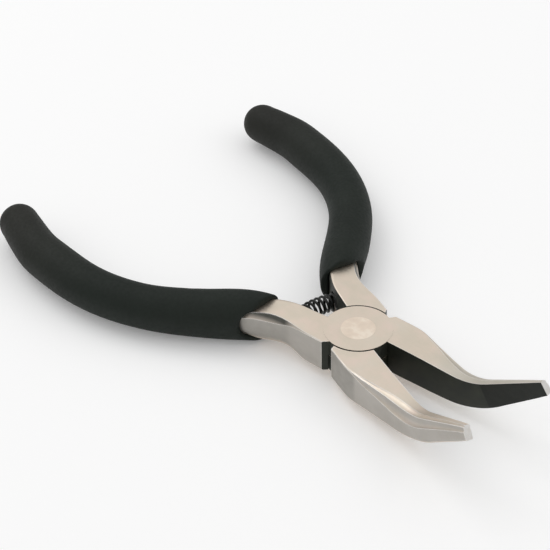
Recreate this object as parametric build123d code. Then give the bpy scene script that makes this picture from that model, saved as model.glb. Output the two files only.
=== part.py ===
from build123d import *
import math
import os

# Bent-nose needle nose pliers with a lap joint, a return spring and sleeve grips.
# Millimetres. The pivot axis is Z, X runs from the pivot to the jaw tips and
# Z = 0 is the flat underside of the joint. Each half is drawn as it lies when the
# pliers are closed, with its jaw on the +Y side, and is then turned to the
# half-open rest position. The upper half owns the upper boss of the lap joint.

# Joint; the arms' flat faces lie a little inside those of the joint. A shoulder
# starts on the joint circle at its first angle and its flat face then runs out at
# its second angle
JOINT_THICKNESS = 7.3
JOINT_RADIUS = 7.0
FACE_STEP = 0.03
BOSS_CLEARANCE = 0.2
LAP_GAP = 0.1
REST_ANGLE = 12.5
EDGE_BREAK = 0.15
JAW_SHOULDER = (67.5, 55)
NECK_SHOULDER = (255.3, 222.5)
SHOULDER_BLOCK = (60, 20, 20)
CUT_MARGIN = 1

# Rivet
SHANK_RADIUS = 2.4
HEAD_RADIUS = 3.5
HEAD_DEPTH = 1.1
RUNNING_CLEARANCE = 0.05

# Jaws
BEND_START = 21.5
BEND_RADIUS = 19.3
BEND_ANGLE = 34.7
BEND_START_HEIGHT = 6.65
RIDGE_SPREAD = 0.66
RIDGE_DROP = 0.17
UPPER_FLUTE_DEPTH = 0.09
LOWER_FLUTE_DEPTH = 0.17
JAW_STEP = 1.8
LOWER_JAW_TOE = 1.0
LOWER_JAW_EXTRA = 1.0

# Handles: the line that each neck and tang follows, in plan
HANDLE_LINE = [
    (-11, -4.4), (-18.75, -5.9), (-24, -8.4), (-31.75, -13.2),
    (-39.8, -17.7), (-48.3, -20.3), (-58, -20.9), (-68, -19.6), (-80.1, -15.3),
]
HANDLE_ENDS = [(-1, 0), (-1, 0.45)]
BEVEL_HOLLOW = 0.06
NECK_STEP = 1.9
TANG_START = 14
TANG_END = 66
TANG_STEP = 4
TANG_WIDTHS = (5.2, 3.6)
TANG_DEPTHS = (4.6, 3.2)
TANG_ROUND = 0.9

# Grips
GRIP_HEIGHT = 3.2
GRIP_END_RADIUS = 4.35
GRIP_STEP = 2.5
UPPER_GRIP_EXTRA = 1.8
LOWER_GRIP_EXTRA = 0.3
DOME_REACHES = (0, 0.35, 0.62, 0.82, 0.94, 0.985)
OVAL_POINTS = 8
MOUTH_X = -19.1
MOUTH_CENTRE_Y = -5.6
MOUTH_SLANT = 17
MOUTH_SET_BACK = 0.25
MOUTH_SWEEP = 25
MOUTH_LIMIT = 0.85
MOUTH_BLOCK = (20, 40, 60)
MOUTH_RECESS = 4.3
MOUTH_RECESS_SHAPE = [(0, 1), (0.5, 0.95), (1, 0.7), (1, 0)]
MOUTH_RECESS_HALF_HEIGHT = 4.1
MOUTH_RECESS_HEIGHT = 3.4
MOUTH_RECESS_START = 3.0
MOUTH_RECESS_LENGTH = 20

# Return spring: it follows an arc about the pivot
SPRING_ARC = 14.4
SPRING_HEIGHT = 3.2
SPRING_RADIUS = 1.67
WIRE_DIAMETER = 0.55
SPRING_HALF_ANGLE = 28
SPRING_TURNS = 12.5
TURN_STEPS = 12
SOCKET_RADIUS = 2.2
SOCKET_MOUTH_ANGLE = 20
SOCKET_DEPTH = 2.4


def jaw_plane(run, height):
    """Cross-section plane of the jaw at a distance along its bent centre line."""
    if run <= BEND_START:
        middle = JOINT_THICKNESS - FACE_STEP - height / 2
        return Plane((run, 0, middle), (0, 1, 0), (1, 0, 0))
    turn = math.radians(BEND_ANGLE)
    bent = min((run - BEND_START) / BEND_RADIUS, turn)
    straight = max(run - BEND_START - BEND_RADIUS * turn, 0)
    x = BEND_START + BEND_RADIUS * math.sin(bent) + straight * math.cos(bent)
    rise = BEND_RADIUS * (1 - math.cos(bent)) + straight * math.sin(bent)
    z = JOINT_THICKNESS - FACE_STEP - BEND_START_HEIGHT / 2 + rise
    return Plane((x, 0, z), (0, 1, 0), (math.cos(bent), 0, math.sin(bent)))


# Jaw stations: distance along the jaw, height, width, width of the flat top,
# drop of the bevel, rounding of the lower outer edge, relief of the inner face
JAW_STATIONS = [
    (0.5, 7.24, 7.6, 7.4, 0.12, 0.3, 0.35),
    (5.0, 7.24, 7.7, 7.5, 0.12, 0.3, 0.35),
    (9.5, 7.24, 7.65, 7.4, 0.2, 0.4, 0.35),
    (11.6, 7.2, 7.35, 6.9, 0.3, 0.45, 0.35),
    (13.6, 7.12, 6.8, 6.2, 1.1, 0.5, 0.35),
    (16.5, 7.0, 6.0, 5.05, 1.7, 0.6, 0.3),
    (20.5, 6.75, 5.05, 3.3, 2.2, 0.8, 0.2),
    (24.0, 6.35, 4.3, 2.3, 2.55, 1.0, 0.14),
    (27.1, 5.85, 3.75, 1.9, 2.6, 1.05, 0.12),
    (30.3, 5.4, 3.35, 1.7, 2.35, 1.0, 0.12),
    (33.6, 5.0, 3.05, 1.6, 2.05, 0.8, 0.12),
    (38.1, 4.3, 2.6, 1.4, 1.7, 0.7, 0.12),
    (42.8, 3.6, 2.1, 1.2, 1.4, 0.5, 0.12),
    (47.3, 2.87, 1.6, 1.0, 1.15, 0.35, 0.12),
]


def dense(stations, step):
    """Stations at even steps, on a smooth curve through the given ones."""
    runs = [row[0] for row in stations]
    count = round((runs[-1] - runs[0]) / step)
    rows = []
    for index in range(count + 1):
        run = runs[0] + index * (runs[-1] - runs[0]) / count
        spot = max(sum(run >= start for start in runs) - 1, 0)
        spot = min(spot, len(runs) - 2)
        span = runs[spot + 1] - runs[spot]
        part = (run - runs[spot]) / span
        row = [run]
        for column in range(1, len(stations[0])):
            start = stations[spot][column]
            end = stations[spot + 1][column]
            lean_in = slope(stations, spot, column) * span
            lean_out = slope(stations, spot + 1, column) * span
            rise = end - start
            cubic = lean_in + lean_out - 2 * rise
            square = rise - lean_in - cubic
            row.append(start + part * (lean_in + part * (square + part * cubic)))
        rows.append(row)
    return rows


def slope(stations, spot, column):
    """Slope of one column at a station, level where the column turns back."""
    before = max(spot - 1, 0)
    after = min(spot + 1, len(stations) - 1)
    rise = stations[after][column] - stations[before][column]
    first = stations[spot][column] - stations[before][column]
    second = stations[after][column] - stations[spot][column]
    if first * second < 0:
        return 0
    return rise / (stations[after][0] - stations[before][0])


def flute_middle(first, second, sag):
    """Control point that hollows the bevel between two of its edges."""
    return (first[0] + second[0]) / 2 - sag, (first[1] + second[1]) / 2 - sag


def jaw_section(run, height, width, flat, drop, belly, relief):
    """Jaw outline: flat inner face, flat top, two flutes, side and rounded belly."""
    low = -height / 2
    high = height / 2
    edge = (flat, high)
    ridge = (flat + RIDGE_SPREAD * (width - flat), high - RIDGE_DROP * drop)
    side = (width, high - drop)
    upper_flute = flute_middle(edge, ridge, UPPER_FLUTE_DEPTH * drop)
    lower_flute = flute_middle(ridge, side, LOWER_FLUTE_DEPTH * drop)
    outline = [
        Line((relief, low), (width - belly, low)),
        Bezier((width - belly, low), (width, low), (width, low + belly)),
        Line((width, low + belly), side),
        Bezier(side, lower_flute, ridge),
        Bezier(ridge, upper_flute, edge),
        Line(edge, (relief, high)),
        Line((relief, high), (relief, low)),
    ]
    return jaw_plane(run, height) * make_face(outline)


def neck_section(width, low, high, under, inset, drop, inside):
    """Neck outline: rounded under and hollow-bevelled over its outer side."""
    inner = -width / 2
    outer = width / 2
    crest = (outer - inset, high)
    side = (outer, high - drop)
    return make_face([
        Line((inner + inside, low), (outer - under, low)),
        Bezier((outer - under, low), (outer, low), (outer, low + under)),
        Line((outer, low + under), side),
        Bezier(side, flute_middle(side, crest, BEVEL_HOLLOW * drop), crest),
        Line(crest, (inner + inside, high)),
        Bezier((inner + inside, high), (inner, high), (inner, high - inside)),
        Line((inner, high - inside), (inner, low + inside)),
        Bezier((inner, low + inside), (inner, low), (inner + inside, low)),
    ])


def handle_plane(distance):
    """Vertical cross-section plane at a distance along the handle line."""
    if distance < 0:
        start = Vector(*HANDLE_LINE[0])
        return Plane((start.X - distance, start.Y, 0), (0, -1, 0), (-1, 0, 0))
    along = min(distance / handle.length, 1)
    way = handle % along
    point = handle @ along + way * max(distance - handle.length, 0)
    return Plane((point.X, point.Y, 0), (-way.Y, way.X, 0), (way.X, way.Y, 0))


handle = Spline(*HANDLE_LINE, tangents=HANDLE_ENDS)

# Neck stations: distance along the handle line, width, underside, top, rounding
# under the outer side, inset and drop of the bevel over it, rounding of the inner side
NECK_STATIONS = [
    (-10.5, 6.9, 0.03, 7.27, 0.5, 0.15, 0.15, 0.15),
    (-6.5, 6.9, 0.03, 7.27, 0.35, 0.15, 0.15, 0.15),
    (-3.2, 6.8, 0.03, 7.27, 0.6, 0.2, 0.25, 0.2),
    (0, 6.4, 0.03, 7.27, 2.3, 0.35, 0.55, 0.25),
    (3.2, 6.3, 0.03, 7.27, 2.9, 0.68, 1.3, 0.35),
    (6.2, 6.2, -0.17, 7.22, 2.8, 0.85, 1.6, 0.8),
    (9.0, 6.1, -0.35, 6.9, 2.6, 0.8, 1.3, 1.1),
    (11.5, 5.8, 0.2, 6.4, 2.2, 0.7, 1.0, 1.1),
    (14, 5.2, 0.9, 5.5, 0.9, 0.8, 0.9, 0.9),
]

# Grip stations: distance along the handle line, radius across, radius upright,
# shift towards the outside, lift
GRIP_STATIONS = [
    (5.2, 4.1, 4.8, -0.75, 0.4),
    (8.5, 4.3, 5.25, -0.6, 0.4),
    (12, 4.55, 5.6, -0.4, 0.35),
    (16, 4.7, 5.55, -0.2, 0.2),
    (20, 4.8, 5.25, 0, 0.1),
    (28, 4.72, 4.9, 0, 0),
    (36, 4.65, 4.65, 0, 0),
    (46, 4.67, 4.67, 0, 0),
    (57, 4.8, 4.8, 0, 0),
    (64, 4.72, 4.72, 0, 0),
    (69, 4.55, 4.55, 0, 0),
]


def boss(radius, low, high):
    """Round disc about the pivot between two heights."""
    disc = Cylinder(radius, high - low, align=(Align.CENTER, Align.CENTER, Align.MIN))
    return Pos(0, 0, low) * disc


def shoulder_cut(circle_angle, face_angle):
    """Block that trims a jaw or neck back to its flat shoulder face."""
    block = Box(*SHOULDER_BLOCK, align=(Align.CENTER, Align.MIN, Align.CENTER))
    turn = math.radians(circle_angle)
    foot = (JOINT_RADIUS * math.cos(turn), JOINT_RADIUS * math.sin(turn))
    return Pos(*foot) * Rot(0, 0, face_angle) * block


def rivet_body(extra):
    """Rivet with a countersunk head at each end, grown by a clearance."""
    shank = boss(SHANK_RADIUS + extra, 0, JOINT_THICKNESS)
    head = Cone(SHANK_RADIUS + extra, HEAD_RADIUS + extra, HEAD_DEPTH)
    top = Pos(0, 0, JOINT_THICKNESS - HEAD_DEPTH / 2) * head
    bottom = Pos(0, 0, HEAD_DEPTH / 2) * Rot(180, 0, 0) * head
    return shank + top + bottom


def jaw_body(toe, extra):
    """Bent jaw, toed in towards the other one and lengthened beyond its bend."""
    sections = []
    tip = JAW_STATIONS[-1][0]
    for run, *sizes in dense(JAW_STATIONS, JAW_STEP):
        beyond = max(run - BEND_START, 0) / (tip - BEND_START)
        sections.append(jaw_section(run + extra * beyond, *sizes))
    return Rot(0, 0, -toe) * loft(sections) - shoulder_cut(*JAW_SHOULDER)


def neck_body():
    """Neck behind the joint, trimmed at its shoulder."""
    sections = []
    for distance, *sizes in dense(NECK_STATIONS, NECK_STEP):
        sections.append(handle_plane(distance) * neck_section(*sizes))
    return loft(sections) - shoulder_cut(*NECK_SHOULDER)


def tang_body():
    """Thinner tang inside the grip, tapering along the handle line."""
    sections = []
    steps = (TANG_END - TANG_START) // TANG_STEP
    middle = GRIP_HEIGHT
    for step in range(steps + 1):
        part = step / steps
        width = TANG_WIDTHS[0] + part * (TANG_WIDTHS[1] - TANG_WIDTHS[0])
        depth = TANG_DEPTHS[0] + part * (TANG_DEPTHS[1] - TANG_DEPTHS[0])
        outline = RectangleRounded(width, depth, TANG_ROUND)
        plane = handle_plane(TANG_START + step * TANG_STEP)
        sections.append(plane * Pos(0, middle) * outline)
    return loft(sections, ruled=True)


def plier_half(upper):
    """One half in its closed place, jaw on +Y, with the upper or the lower boss."""
    middle = JOINT_THICKNESS / 2
    toe = 0 if upper else LOWER_JAW_TOE
    extra = 0 if upper else LOWER_JAW_EXTRA
    well = JOINT_RADIUS + BOSS_CLEARANCE
    rim = Cone(well, well + EDGE_BREAK, EDGE_BREAK)
    arms = jaw_body(toe, extra) + neck
    arms -= boss(JOINT_RADIUS, -CUT_MARGIN, JOINT_THICKNESS + CUT_MARGIN)
    if upper:
        arms -= boss(well, -CUT_MARGIN, middle + LAP_GAP / 2)
        arms -= Pos(0, 0, EDGE_BREAK / 2) * Rot(180, 0, 0) * rim
        own = boss(JOINT_RADIUS, middle + LAP_GAP / 2, JOINT_THICKNESS)
    else:
        arms -= boss(well, middle - LAP_GAP / 2, JOINT_THICKNESS + CUT_MARGIN)
        arms -= Pos(0, 0, JOINT_THICKNESS - EDGE_BREAK / 2) * rim
        own = boss(JOINT_RADIUS, 0, middle - LAP_GAP / 2)
    return arms + own + tang


def to_rest(shape, upper):
    """Turn a half, or what it carries, from its closed place to the rest place."""
    if upper:
        return Rot(0, 0, REST_ANGLE) * shape
    return Rot(0, 0, -REST_ANGLE) * mirror(shape, Plane.XZ)


def spring_socket(upper):
    """Blind hole for one end of the spring, drilled in the rest position."""
    side = -1 if upper else 1
    hole = Cylinder(SOCKET_RADIUS, 2 * SOCKET_DEPTH)
    turn = Rot(0, 0, -SOCKET_MOUTH_ANGLE * side)
    return turn * Pos(-SPRING_ARC, 0, SPRING_HEIGHT) * Rot(90, 0, 0) * hole


def mouth_cut():
    """Shape that trims the sleeve's mouth: swept back, with a recess on the outside."""
    block = Box(*MOUTH_BLOCK, align=(Align.MIN, Align.CENTER, Align.CENTER))
    swept = Pos(-MOUTH_SET_BACK, 0) * Rot(0, 0, -MOUTH_SWEEP) * block
    front = swept + Pos(MOUTH_LIMIT, 0) * block
    half = MOUTH_RECESS_HALF_HEIGHT
    above = [(-MOUTH_RECESS * back, half * up) for back, up in MOUTH_RECESS_SHAPE]
    below = [(-MOUTH_RECESS * back, -half * up) for back, up in MOUTH_RECESS_SHAPE]
    outline = make_face([Bezier(*above), Bezier(*below), Line(above[0], below[0])])
    place = Pos(0, -MOUTH_RECESS_START, MOUTH_RECESS_HEIGHT)
    recess = place * extrude(Plane.XZ * outline, amount=MOUTH_RECESS_LENGTH)
    return Pos(MOUTH_X, MOUTH_CENTRE_Y) * Rot(0, 0, MOUTH_SLANT) * (front + recess)


def oval(across, upright):
    """Smooth closed outline of a grip's cross-section."""
    points = []
    for corner in range(OVAL_POINTS):
        turn = 2 * math.pi * corner / OVAL_POINTS
        points.append((across * math.cos(turn), upright * math.sin(turn)))
    return make_face(Spline(*points, periodic=True))


def sleeve(extra):
    """Soft grip round the tang and neck, with a rounded closed end."""
    end = (handle.length + extra, GRIP_END_RADIUS, GRIP_END_RADIUS, 0, 0)
    sections = []
    for distance, across, upright, shift, lift in dense([*GRIP_STATIONS, end], GRIP_STEP):
        centre = Pos(shift, GRIP_HEIGHT + lift)
        sections.append(handle_plane(distance) * centre * oval(across, upright))
    last = handle_plane(end[0]) * Pos(0, GRIP_HEIGHT)
    dome = []
    for reach in DOME_REACHES:
        radius = GRIP_END_RADIUS * math.sqrt(1 - reach ** 2)
        dome.append(last * Pos(0, 0, reach * GRIP_END_RADIUS) * oval(radius, radius))
    grip = loft(sections) + loft(dome)
    return grip - mouth_cut() - tang - neck


def coil_spring():
    """Compression spring between the necks, wound along an arc about the pivot."""
    points = []
    steps = round(SPRING_TURNS * TURN_STEPS)
    for step in range(steps + 1):
        swing = math.radians(SPRING_HALF_ANGLE * (2 * step / steps - 1))
        turn = 2 * math.pi * (step / TURN_STEPS - SPRING_TURNS / 2)
        reach = SPRING_ARC + SPRING_RADIUS * math.cos(turn)
        height = SPRING_HEIGHT + SPRING_RADIUS * math.sin(turn)
        points.append((-reach * math.cos(swing), reach * math.sin(swing), height))
    path = Spline(*points)
    start = Plane(path @ 0, z_dir=path % 0)
    return sweep(start * Circle(WIRE_DIAMETER / 2), path=path, is_frenet=True)


os.makedirs("parts", exist_ok=True)

neck = neck_body()
tang = tang_body()
upper_half = to_rest(plier_half(True), True)
upper_half -= rivet_body(0)
upper_half -= spring_socket(True)
lower_half = to_rest(plier_half(False), False)
lower_half -= rivet_body(RUNNING_CLEARANCE)
lower_half -= spring_socket(False)

pieces = {
    "upper_half": upper_half,
    "lower_half": lower_half,
    "pivot_rivet": rivet_body(0),
    "return_spring": coil_spring(),
    "upper_grip": to_rest(sleeve(UPPER_GRIP_EXTRA), True),
    "lower_grip": to_rest(sleeve(LOWER_GRIP_EXTRA), False),
}

for name, piece in pieces.items():
    export_step(piece, f"parts/{name}.step")
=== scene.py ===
import bpy
import math
from mathutils import Matrix, Vector


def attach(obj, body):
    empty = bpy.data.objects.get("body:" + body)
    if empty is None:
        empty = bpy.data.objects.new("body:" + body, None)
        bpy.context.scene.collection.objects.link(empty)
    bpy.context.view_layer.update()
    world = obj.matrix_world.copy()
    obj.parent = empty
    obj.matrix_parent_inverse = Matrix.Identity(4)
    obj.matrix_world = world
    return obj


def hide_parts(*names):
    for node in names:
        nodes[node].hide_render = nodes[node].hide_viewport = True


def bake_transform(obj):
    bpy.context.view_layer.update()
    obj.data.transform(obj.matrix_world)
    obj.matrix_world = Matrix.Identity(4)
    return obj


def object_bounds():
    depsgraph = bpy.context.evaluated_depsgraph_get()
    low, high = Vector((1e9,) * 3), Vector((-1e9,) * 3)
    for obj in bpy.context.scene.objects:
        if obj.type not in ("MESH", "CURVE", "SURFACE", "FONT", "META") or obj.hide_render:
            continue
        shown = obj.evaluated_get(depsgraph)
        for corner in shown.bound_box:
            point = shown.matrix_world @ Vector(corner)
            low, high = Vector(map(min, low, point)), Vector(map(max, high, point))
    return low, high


# Bent-nose needle nose pliers: looks, lights and camera round the CAD frame.
# Metres. The pivot axis is Z, X runs from the pivot towards the jaw tips.

MM = 0.001
REST_ANGLE = 12.5
UPPER = "upper_lever"
LOWER = "lower_lever"

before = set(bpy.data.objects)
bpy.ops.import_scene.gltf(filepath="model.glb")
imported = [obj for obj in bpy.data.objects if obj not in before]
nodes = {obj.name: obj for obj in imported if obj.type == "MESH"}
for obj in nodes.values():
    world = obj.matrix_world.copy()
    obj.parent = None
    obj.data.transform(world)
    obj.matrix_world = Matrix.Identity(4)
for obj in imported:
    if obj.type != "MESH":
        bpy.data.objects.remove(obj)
cad_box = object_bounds()


# Shader helpers

NOISE_ROUGHNESS = 0.55


def new_material(name):
    """A material with its tree and its Principled shader."""
    material = bpy.data.materials.new(name)
    material.use_nodes = True
    tree = material.node_tree
    shader = tree.nodes["Principled BSDF"]
    return material, tree, shader


def feed(tree, socket, value):
    """Set an input socket from another socket or a number."""
    if isinstance(value, (int, float)):
        socket.default_value = value
    else:
        tree.links.new(value, socket)


def math_node(tree, operation, first, second=0.0):
    """One Math node fed by sockets or numbers; returns its output."""
    node = tree.nodes.new("ShaderNodeMath")
    node.operation = operation
    feed(tree, node.inputs[0], first)
    feed(tree, node.inputs[1], second)
    return node.outputs[0]


def both(tree, first, second):
    """Product of two masks."""
    return math_node(tree, "MULTIPLY", first, second)


def either(tree, first, second):
    """The stronger of two masks."""
    return math_node(tree, "MAXIMUM", first, second)


def inverse(tree, mask):
    """1 where a mask is 0, and 0 where it is 1."""
    return math_node(tree, "SUBTRACT", 1.0, mask)


def above(tree, value, limit):
    """1 where a value is over a limit, else 0."""
    return math_node(tree, "GREATER_THAN", value, limit)


def below(tree, value, limit):
    """1 where a value is under a limit, else 0."""
    return math_node(tree, "LESS_THAN", value, limit)


def object_place(tree):
    """The object-space position socket."""
    return tree.nodes.new("ShaderNodeTexCoord").outputs["Object"]


def noise(tree, place, scale, detail, stretch=(1, 1, 1)):
    """Noise over the object in its own space, stretched along its axes."""
    mapping = tree.nodes.new("ShaderNodeMapping")
    mapping.inputs["Scale"].default_value = stretch
    tree.links.new(place, mapping.inputs["Vector"])
    node = tree.nodes.new("ShaderNodeTexNoise")
    node.inputs["Scale"].default_value = scale
    node.inputs["Detail"].default_value = detail
    node.inputs["Roughness"].default_value = NOISE_ROUGHNESS
    tree.links.new(mapping.outputs[0], node.inputs["Vector"])
    return node.outputs["Fac"]


def ramp(tree, value, stops):
    """Colour ramp through (position, colour) stops."""
    node = tree.nodes.new("ShaderNodeValToRGB")
    elements = node.color_ramp.elements
    while len(elements) < len(stops):
        elements.new(0.5)
    for element, (position, colour) in zip(elements, stops):
        element.position = position
        element.color = (*colour, 1)
    tree.links.new(value, node.inputs["Fac"])
    return node.outputs["Color"]


def levels(tree, value, span, result=(0.0, 1.0)):
    """Value moved from one span to another, and clamped."""
    node = tree.nodes.new("ShaderNodeMapRange")
    node.inputs["From Min"].default_value = span[0]
    node.inputs["From Max"].default_value = span[1]
    node.inputs["To Min"].default_value = result[0]
    node.inputs["To Max"].default_value = result[1]
    tree.links.new(value, node.inputs["Value"])
    return node.outputs["Result"]


def blend_colours(tree, amount, first, second):
    """Mix of two colour sockets."""
    node = tree.nodes.new("ShaderNodeMix")
    node.data_type = "RGBA"
    tree.links.new(amount, node.inputs["Factor"])
    tree.links.new(first, node.inputs["A"])
    tree.links.new(second, node.inputs["B"])
    return node.outputs["Result"]


def blend_values(tree, amount, first, second):
    """Mix of two value sockets or numbers."""
    node = tree.nodes.new("ShaderNodeMix")
    node.data_type = "FLOAT"
    tree.links.new(amount, node.inputs["Factor"])
    feed(tree, node.inputs["A"], first)
    feed(tree, node.inputs["B"], second)
    return node.outputs["Result"]


def bump(tree, shader, heights):
    """Bump from a chain of (height socket, strength, distance)."""
    previous = None
    for height, strength, distance in heights:
        node = tree.nodes.new("ShaderNodeBump")
        node.inputs["Strength"].default_value = strength
        node.inputs["Distance"].default_value = distance
        tree.links.new(height, node.inputs["Height"])
        if previous:
            tree.links.new(previous, node.inputs["Normal"])
        previous = node.outputs["Normal"]
    tree.links.new(previous, shader.inputs["Normal"])


# Colours: ramps over noise, as (position, linear colour) stops

TOP_TONES = [
    (0.3, (0.735, 0.642, 0.537)), (0.5, (0.785, 0.688, 0.58)), (0.7, (0.81, 0.73, 0.635))]
BLUSH_TONES = [
    (0.35, (0.705, 0.655, 0.55)), (0.5, (0.785, 0.69, 0.585)), (0.65, (0.83, 0.70, 0.61))]
DULL_TONES = [(0.3, (0.60, 0.575, 0.50)), (0.7, (0.67, 0.64, 0.57))]
# Flank tones: painted shade on steep faces, partly a duller real finish of the sides
FLANK_TONES = [(0.3, (0.43, 0.405, 0.37)), (0.7, (0.49, 0.465, 0.43))]
# Deeper painted shade on the jaw's rounded root and behind the neck's waist
DEEP_FLANK_SHADE_TONES = [(0.3, (0.34, 0.325, 0.295)), (0.7, (0.42, 0.40, 0.37))]
# Painted dark reflection in the hollow bevel of the neck
HOLLOW_SHADE_TONES = [(0.3, (0.09, 0.09, 0.08)), (0.7, (0.15, 0.15, 0.135))]
# Bright corners: real edge wear and painted highlights along the ridges
WORN_AND_GLINT_TONES = [(0.3, (0.90, 0.87, 0.83)), (0.7, (0.98, 0.96, 0.93))]
OXIDE_TONES = [(0.3, (0.010, 0.013, 0.008)), (0.7, (0.022, 0.025, 0.015))]
PAD_TONES = [(0.3, (0.006, 0.008, 0.005)), (0.7, (0.011, 0.013, 0.009))]
RIVET_TONES = [
    (0.35, (0.84, 0.715, 0.595)), (0.5, (0.90, 0.77, 0.64)), (0.62, (0.97, 0.86, 0.73))]
GRIP_TONES = [(0.3, (0.009, 0.013, 0.010)), (0.7, (0.014, 0.019, 0.015))]
GRIP_END_TONES = [(0.3, (0.024, 0.022, 0.019)), (0.7, (0.031, 0.029, 0.025))]
DUST_TONES = [(0.0, (0.02, 0.02, 0.02)), (1.0, (0.12, 0.13, 0.12))]
WIRE_TONES = [(0.4, (0.012, 0.013, 0.012)), (0.75, (0.045, 0.045, 0.042))]


# Steel halves. Places are in a half's own closed frame, its jaw on +Y.
# A pair of places is a fade, from where it starts to where it is full.

BLACK_RADIUS = 7.25 * MM
PLAIN_JOINT_RADIUS = 7.4 * MM
TIP_END_FROM = 36 * MM
DULL_JAW_TOP = (15 * MM, 23 * MM)
# Spans of the deeper painted shade on the flanks: the jaw's root and the neck's waist
JAW_ROOT = (12.8 * MM, 11.9 * MM)
NECK_WAIST = (-11.2 * MM, -12.6 * MM)
# Where the painted dark reflection in the neck's hollow bevel fades in
HOLLOW_LENGTH = (-10.6 * MM, -13.0 * MM)
HOLLOW_HEIGHT = (5.5 * MM, 6.5 * MM)
TIP_WEAR = (42.6 * MM, 43.6 * MM)
PAD_START = (34.5 * MM, 34.9 * MM)
PAD_LEAN = 0.6
# Corner mask for edge wear and painted highlights
EDGE_WEAR_AND_GLINT_RADIUS = 0.3 * MM
EDGE_WEAR_AND_GLINT_STRENGTH = 0.9
EDGE_SAMPLES = 6
CORNER_LIKENESS = (0.998, 0.96)

# Shares of a second tone, and limits for the parts of a face's normal
DULL_SHARE = 0.75
WAIST_SHARE = 0.75
BLUSH_SHARE = (0.35, 0.65)
FLANK_TO_TOP = (0.2, 0.75)
HOLLOW_FROM_FLANK = (0.2, 0.32)
HOLLOW_TO_TOP = (0.8, 0.62)
UPRIGHT_FACE = 0.75
OUTSIDE = 0.2
TIP_FACING = 0.6
JAW_BACK_FACING = -0.5
NECK_FRONT_FACING = 0.62


def half_axes(tree, source, side):
    """X, Y and Z of a vector in a half's own closed frame, its jaw on +Y."""
    turn = tree.nodes.new("ShaderNodeVectorRotate")
    turn.rotation_type = "Z_AXIS"
    turn.inputs["Angle"].default_value = math.radians(-REST_ANGLE * side)
    tree.links.new(source, turn.inputs["Vector"])
    parts = tree.nodes.new("ShaderNodeSeparateXYZ")
    tree.links.new(turn.outputs[0], parts.inputs[0])
    along, across, upright = parts.outputs
    return along, math_node(tree, "MULTIPLY", across, side), upright


def radius_from_pivot(tree):
    """Distance from the pivot axis."""
    flat = tree.nodes.new("ShaderNodeVectorMath")
    flat.operation = "MULTIPLY"
    flat.inputs[1].default_value = (1, 1, 0)
    tree.links.new(object_place(tree), flat.inputs[0])
    length = tree.nodes.new("ShaderNodeVectorMath")
    length.operation = "LENGTH"
    tree.links.new(flat.outputs[0], length.inputs[0])
    return length.outputs["Value"]


def edge_wear_and_glint_mask(tree):
    """1 along the corners beyond the joint and 0 on the faces; the corners get real wear and
    a painted highlight.
    """
    rounded = tree.nodes.new("ShaderNodeBevel")
    rounded.samples = EDGE_SAMPLES
    rounded.inputs["Radius"].default_value = EDGE_WEAR_AND_GLINT_RADIUS
    surface = tree.nodes.new("ShaderNodeNewGeometry")
    likeness = tree.nodes.new("ShaderNodeVectorMath")
    likeness.operation = "DOT_PRODUCT"
    tree.links.new(rounded.outputs[0], likeness.inputs[0])
    tree.links.new(surface.outputs["Normal"], likeness.inputs[1])
    corner = levels(tree, likeness.outputs["Value"], CORNER_LIKENESS)
    return both(tree, corner, above(tree, radius_from_pivot(tree), PLAIN_JOINT_RADIUS))


def black_face_mask(tree, normals, places):
    """1 on the oxide-black inner faces, shoulders and boss sides, 0 on ground steel."""
    normal_x, normal_y, normal_z = normals
    x = places[0]
    upright_face = below(tree, math_node(tree, "ABSOLUTE", normal_z), UPRIGHT_FACE)
    jaw_outside = both(
        tree, above(tree, normal_y, OUTSIDE), above(tree, normal_x, JAW_BACK_FACING))
    tip_end = both(tree, above(tree, normal_x, TIP_FACING), above(tree, x, TIP_END_FROM))
    neck_outside = both(
        tree, below(tree, normal_y, -OUTSIDE), below(tree, normal_x, NECK_FRONT_FACING))
    on_jaw = above(tree, x, 0.0)
    bright = blend_values(tree, on_jaw, neck_outside, either(tree, jaw_outside, tip_end))
    bright = both(tree, bright, above(tree, radius_from_pivot(tree), BLACK_RADIUS))
    return both(tree, upright_face, inverse(tree, bright))


def hollow_shade_mask(tree, steepness, normals, places):
    """1 in the hollow bevel on the outside of the neck, in front of the sleeve, where a dark
    reflection is painted.
    """
    slope = both(
        tree,
        levels(tree, steepness, HOLLOW_FROM_FLANK),
        levels(tree, steepness, HOLLOW_TO_TOP))
    reach = both(
        tree,
        levels(tree, places[2], HOLLOW_HEIGHT),
        levels(tree, places[0], HOLLOW_LENGTH))
    return both(tree, both(tree, slope, reach), below(tree, normals[1], -OUTSIDE))


def top_colour(tree, x, clouds, patches, side):
    """Warm bright tone of the ground tops, the lit side of the painted shading from top to
    flank, which is duller on the upper half's jaw.
    """
    blush = ramp(tree, patches, BLUSH_TONES)
    share = levels(tree, patches, BLUSH_SHARE, BLUSH_SHARE)
    top = blend_colours(tree, share, ramp(tree, clouds, TOP_TONES), blush)
    if side > 0:
        dull = ramp(tree, patches, DULL_TONES)
        share = levels(tree, x, DULL_JAW_TOP, (0, DULL_SHARE))
        top = blend_colours(tree, share, top, dull)
    return top


def flank_colour(tree, x, clouds, patches):
    """Grey tone of the flanks with painted shade, darker still at the jaw's rounded root and
    behind the neck's waist.
    """
    flank = ramp(tree, clouds, FLANK_TONES)
    deep_flank_shade = ramp(tree, patches, DEEP_FLANK_SHADE_TONES)
    jaw_root = both(tree, levels(tree, x, JAW_ROOT), above(tree, x, 0.0))
    neck_waist = levels(tree, x, NECK_WAIST, (0, WAIST_SHARE))
    return blend_colours(tree, either(tree, jaw_root, neck_waist), flank, deep_flank_shade)


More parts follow.
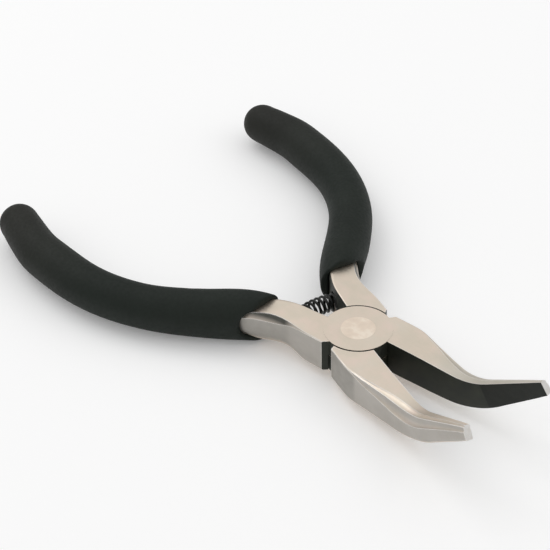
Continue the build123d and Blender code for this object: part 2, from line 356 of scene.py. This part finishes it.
def steel(name, side):
    """Satin ground steel of one half, black on the faces left unground, with painted shade
    and painted highlights.
    """
    material, tree, shader = new_material(name)
    place = object_place(tree)
    facing = tree.nodes.new("ShaderNodeTexCoord").outputs["Normal"]
    normals = half_axes(tree, facing, side)
    places = half_axes(tree, place, side)
    x = places[0]
    steepness = math_node(tree, "ABSOLUTE", normals[2])
    clouds = noise(tree, place, scale=90, detail=3)
    patches = noise(tree, place, scale=240, detail=3)
    grain = noise(tree, place, scale=1400, detail=4, stretch=(0.25, 1, 0.6))
    speckle = noise(tree, place, scale=300, detail=4)

    # Painted shade: faces get the top tone or the darker flank tone by how steeply they
    # stand, partly a duller real finish of the sides
    ground = blend_colours(
        tree,
        levels(tree, steepness, FLANK_TO_TOP),
        flank_colour(tree, x, clouds, patches),
        top_colour(tree, x, clouds, patches, side))
    # Painted dark reflection in the hollow bevel on the neck's outside
    hollow = hollow_shade_mask(tree, steepness, normals, places)
    ground = blend_colours(tree, hollow, ground, ramp(tree, patches, HOLLOW_SHADE_TONES))

    tip_wear = both(tree, levels(tree, x, TIP_WEAR), above(tree, normals[0], TIP_FACING))
    # Bright corners: real edge wear with painted highlights along ridges and corners, and the
    # worn tip end
    worn = either(tree, both(tree, edge_wear_and_glint_mask(tree), EDGE_WEAR_AND_GLINT_STRENGTH), tip_wear)
    worn = both(tree, worn, levels(tree, grain, (0.25, 0.5), (0.55, 1.0)))
    ground = blend_colours(tree, worn, ground, ramp(tree, patches, WORN_AND_GLINT_TONES))

    lean = math_node(tree, "MULTIPLY", places[2], PAD_LEAN)
    pad = levels(tree, math_node(tree, "ADD", x, lean), PAD_START)
    oxide = blend_colours(
        tree, pad, ramp(tree, speckle, OXIDE_TONES), ramp(tree, grain, PAD_TONES))
    black = both(tree, black_face_mask(tree, normals, places), inverse(tree, tip_wear))
    colour = blend_colours(tree, black, ground, oxide)
    tree.links.new(colour, shader.inputs["Base Color"])

    metal = blend_values(tree, black, 1.0, blend_values(tree, pad, 0.15, 0.0))
    tree.links.new(metal, shader.inputs["Metallic"])
    satin = levels(tree, grain, (0.3, 0.7), (0.42, 0.52))
    satin = blend_values(tree, worn, satin, 0.34)
    rough = blend_values(tree, black, satin, blend_values(tree, pad, 0.53, 0.72))
    tree.links.new(rough, shader.inputs["Roughness"])
    bump(tree, shader, [(grain, 0.08, 0.02 * MM), (clouds, 0.03, 0.05 * MM)])
    return material


def rivet_steel():
    """Flush rivet end, ground with the joint and a little brighter."""
    material, tree, shader = new_material("rivet_steel")
    place = object_place(tree)
    clouds = noise(tree, place, scale=330, detail=3)
    tree.links.new(ramp(tree, clouds, RIVET_TONES), shader.inputs["Base Color"])
    shader.inputs["Metallic"].default_value = 1.0
    grain = noise(tree, place, scale=1100, detail=4, stretch=(0.15, 1, 0.4))
    rough = levels(tree, grain, (0.3, 0.7), (0.32, 0.42))
    tree.links.new(rough, shader.inputs["Roughness"])
    bump(tree, shader, [(grain, 0.08, 0.02 * MM)])
    return material


# Other materials

GRIP_END_LENGTH = (-45 * MM, -76 * MM)
GRIP_END_SHARE = 0.6


def black_grip():
    """Matte black soft sleeve, lighter and warmer towards its end, with a few pale specks."""
    material, tree, shader = new_material("black_grip")
    place = object_place(tree)
    clouds = noise(tree, place, scale=70, detail=4)
    skin = noise(tree, place, scale=1500, detail=3)
    parts = tree.nodes.new("ShaderNodeSeparateXYZ")
    tree.links.new(place, parts.inputs[0])
    toward_end = levels(tree, parts.outputs["X"], GRIP_END_LENGTH, (0, GRIP_END_SHARE))
    base = blend_colours(
        tree, toward_end, ramp(tree, clouds, GRIP_TONES), ramp(tree, clouds, GRIP_END_TONES))
    specks = levels(tree, noise(tree, place, scale=800, detail=2), (0.76, 0.80))
    colour = blend_colours(tree, specks, base, ramp(tree, specks, DUST_TONES))
    tree.links.new(colour, shader.inputs["Base Color"])
    rough = levels(tree, skin, (0.3, 0.7), (0.58, 0.72))
    tree.links.new(rough, shader.inputs["Roughness"])
    shader.inputs["Specular IOR Level"].default_value = 0.22
    bump(tree, shader, [(skin, 0.25, 0.03 * MM), (clouds, 0.15, 0.2 * MM)])
    return material


def spring_steel():
    """Black oiled spring wire."""
    material, tree, shader = new_material("spring_steel")
    worn = noise(tree, object_place(tree), scale=700, detail=4)
    tree.links.new(ramp(tree, worn, WIRE_TONES), shader.inputs["Base Color"])
    shader.inputs["Metallic"].default_value = 0.6
    rough = levels(tree, worn, (0.3, 0.7), (0.28, 0.42))
    tree.links.new(rough, shader.inputs["Roughness"])
    bump(tree, shader, [(worn, 0.1, 0.02 * MM)])
    return material


def repaint(obj, material):
    """Put one material on every slot of an object."""
    if not obj.material_slots:
        obj.data.materials.append(material)
    for slot in obj.material_slots:
        slot.material = material


repaint(nodes["upper_half"], steel("satin_steel_upper", 1))
repaint(nodes["lower_half"], steel("satin_steel_lower", -1))
repaint(nodes["pivot_rivet"], rivet_steel())


# Grips: soft sleeves in place of the plain CAD ones

GRIP_VOXEL = 0.3 * MM
RIM_SMOOTHING = 0.5
RIM_PASSES = 8


def soft_sleeve(name, node, body, material):
    """Sleeve with softly rounded rims, made from the room that its CAD solid holds."""
    obj = nodes[node].copy()
    obj.data = nodes[node].data.copy()
    obj.name = name
    obj.parent = None
    bpy.context.collection.objects.link(obj)
    remesh = obj.modifiers.new("even_mesh", "REMESH")
    remesh.mode = "VOXEL"
    remesh.voxel_size = GRIP_VOXEL
    smooth = obj.modifiers.new("soft_rims", "SMOOTH")
    smooth.factor = RIM_SMOOTHING
    smooth.iterations = RIM_PASSES
    graph = bpy.context.evaluated_depsgraph_get()
    mesh = bpy.data.meshes.new_from_object(obj.evaluated_get(graph))
    obj.modifiers.clear()
    obj.data = mesh
    mesh.shade_smooth()
    repaint(obj, material)
    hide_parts(node)
    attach(obj, body)


grip_material = black_grip()
soft_sleeve("upper_sleeve", "upper_grip", UPPER, grip_material)
soft_sleeve("lower_sleeve", "lower_grip", LOWER, grip_material)


# Return spring: a closed turn at each end, open turns between, laid along an arc round the
# pivot

SPRING_ARC = 14.4 * MM
SPRING_HEIGHT = 3.2 * MM
COIL_RADIUS = 1.67 * MM
WIRE_RADIUS = 0.275 * MM
OPEN_PITCH = 1.098 * MM
CLOSED_PITCH = 0.57 * MM
OPEN_TURNS = 11.5
CLOSED_TURNS = 1.0
TURN_STEPS = 36
WIRE_SIDES = 12


def coil_rise(turn):
    """Distance along the coil's axis from its middle after a number of turns."""
    half = OPEN_TURNS / 2
    opened = max(-half, min(half, turn))
    return opened * OPEN_PITCH + (turn - opened) * CLOSED_PITCH


def coil_line():
    """Points along the wire's centre, each with the coil's own axis there."""
    half = OPEN_TURNS / 2 + CLOSED_TURNS
    steps = round(2 * half * TURN_STEPS)
    line = []
    for step in range(steps + 1):
        turn = step / TURN_STEPS - half
        swing = coil_rise(turn) / SPRING_ARC
        angle = 2 * math.pi * turn
        reach = SPRING_ARC + COIL_RADIUS * math.cos(angle)
        point = Vector((
            -reach * math.cos(swing),
            reach * math.sin(swing),
            SPRING_HEIGHT + COIL_RADIUS * math.sin(angle)))
        line.append((point, Vector((math.sin(swing), math.cos(swing), 0))))
    return line


def wire_mesh(name, line):
    """Round wire with flat ends along a line of points."""
    vertices = []
    count = len(line)
    for index, (point, axis) in enumerate(line):
        ahead = line[min(index + 1, count - 1)][0]
        behind = line[max(index - 1, 0)][0]
        way = (ahead - behind).normalized()
        across = way.cross(axis).normalized()
        upright = across.cross(way)
        for side in range(WIRE_SIDES):
            angle = 2 * math.pi * side / WIRE_SIDES
            offset = math.cos(angle) * across + math.sin(angle) * upright
            vertices.append(point + WIRE_RADIUS * offset)
    faces = []
    for index in range(count - 1):
        for side in range(WIRE_SIDES):
            after = (side + 1) % WIRE_SIDES
            low = index * WIRE_SIDES
            high = low + WIRE_SIDES
            faces.append((low + side, low + after, high + after, high + side))
    faces.append(tuple(range(WIRE_SIDES - 1, -1, -1)))
    faces.append(tuple((count - 1) * WIRE_SIDES + side for side in range(WIRE_SIDES)))
    mesh = bpy.data.meshes.new(name)
    mesh.from_pydata(vertices, [], faces)
    mesh.shade_smooth()
    return mesh


def make_spring():
    """The spring's piece, which stands for the plain CAD coil."""
    mesh = wire_mesh("return_spring_coil", coil_line())
    spring = bpy.data.objects.new("return_spring_coil", mesh)
    bpy.context.collection.objects.link(spring)
    repaint(spring, spring_steel())
    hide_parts("return_spring")
    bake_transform(spring)


make_spring()


# Floor, light and camera

FLOOR_REACH = 30.0
FLOOR_GAP = 0.02 * MM
FLOOR_GLOW = 0.15
SKY_TONES = [(0.0, 0.36), (0.3, 0.42), (0.55, 0.8), (1.0, 0.85)]
CAMERA_PLACE = (0.2575, -0.2079, 0.2775)
VIEW_AZIMUTH = 53.9
VIEW_ELEVATION = 37.8
VIEW_ROLL = -1.3
SENSOR = 36.0
FOCAL_LENGTH = 140.8
NEAR_CLIP = 0.01


def make_floor():
    """Plain pale floor just under the object."""
    mesh = bpy.data.meshes.new("floor")
    z = cad_box[0][2] - FLOOR_GAP
    signs = ((-1, -1), (1, -1), (1, 1), (-1, 1))
    corners = [(x * FLOOR_REACH, y * FLOOR_REACH, z) for x, y in signs]
    mesh.from_pydata(corners, [], [(0, 1, 2, 3)])
    floor = bpy.data.objects.new("floor", mesh)
    bpy.context.collection.objects.link(floor)
    material, _, shader = new_material("pale_floor")
    shader.inputs["Base Color"].default_value = (0.9, 0.9, 0.9, 1)
    shader.inputs["Roughness"].default_value = 0.9
    shader.inputs["Specular IOR Level"].default_value = 0.1
    shader.inputs["Emission Color"].default_value = (1, 1, 1, 1)
    shader.inputs["Emission Strength"].default_value = FLOOR_GLOW
    repaint(floor, material)


def area_light(name, place, size, power):
    """Square soft light aimed at the pivot."""
    data = bpy.data.lights.new(name, "AREA")
    data.size = size
    data.energy = power
    light = bpy.data.objects.new(name, data)
    light.location = place
    light.rotation_euler = (-Vector(place)).to_track_quat("-Z", "Y").to_euler()
    bpy.context.collection.objects.link(light)


def make_world():
    """Surroundings that go from a dim horizon to a bright ceiling."""
    world = bpy.data.worlds.new("studio")
    world.use_nodes = True
    tree = world.node_tree
    parts = tree.nodes.new("ShaderNodeSeparateXYZ")
    tree.links.new(tree.nodes.new("ShaderNodeTexCoord").outputs["Generated"], parts.inputs[0])
    background = tree.nodes["Background"]
    tones = [(height, (tone, tone, tone)) for height, tone in SKY_TONES]
    tree.links.new(ramp(tree, parts.outputs["Z"], tones), background.inputs["Color"])
    background.inputs["Strength"].default_value = 1.0
    bpy.context.scene.world = world


def make_camera():
    """Camera at the photographed angle."""
    turn = math.radians(VIEW_AZIMUTH)
    tilt = math.radians(VIEW_ELEVATION)
    roll = math.radians(VIEW_ROLL)
    forward = Vector((
        -math.sin(turn) * math.cos(tilt), math.cos(turn) * math.cos(tilt), -math.sin(tilt)))
    level = Vector((math.cos(turn), math.sin(turn), 0))
    upward = level.cross(forward)
    right = math.cos(roll) * level + math.sin(roll) * upward
    up = right.cross(forward)
    rotation = Matrix((right, up, -forward)).transposed()
    data = bpy.data.cameras.new("camera")
    data.sensor_width = SENSOR
    data.lens = FOCAL_LENGTH
    data.clip_start = NEAR_CLIP
    camera = bpy.data.objects.new("camera", data)
    camera.matrix_world = Matrix.Translation(CAMERA_PLACE) @ rotation.to_4x4()
    bpy.context.collection.objects.link(camera)
    bpy.context.scene.camera = camera


make_floor()
make_world()
area_light("key", place=(-0.60, -0.15, 0.75), size=0.6, power=1.5)
area_light("fill", place=(0.5, 0.5, 0.5), size=0.6, power=0.5)
make_camera()
bpy.context.scene.view_settings.view_transform = "Standard"
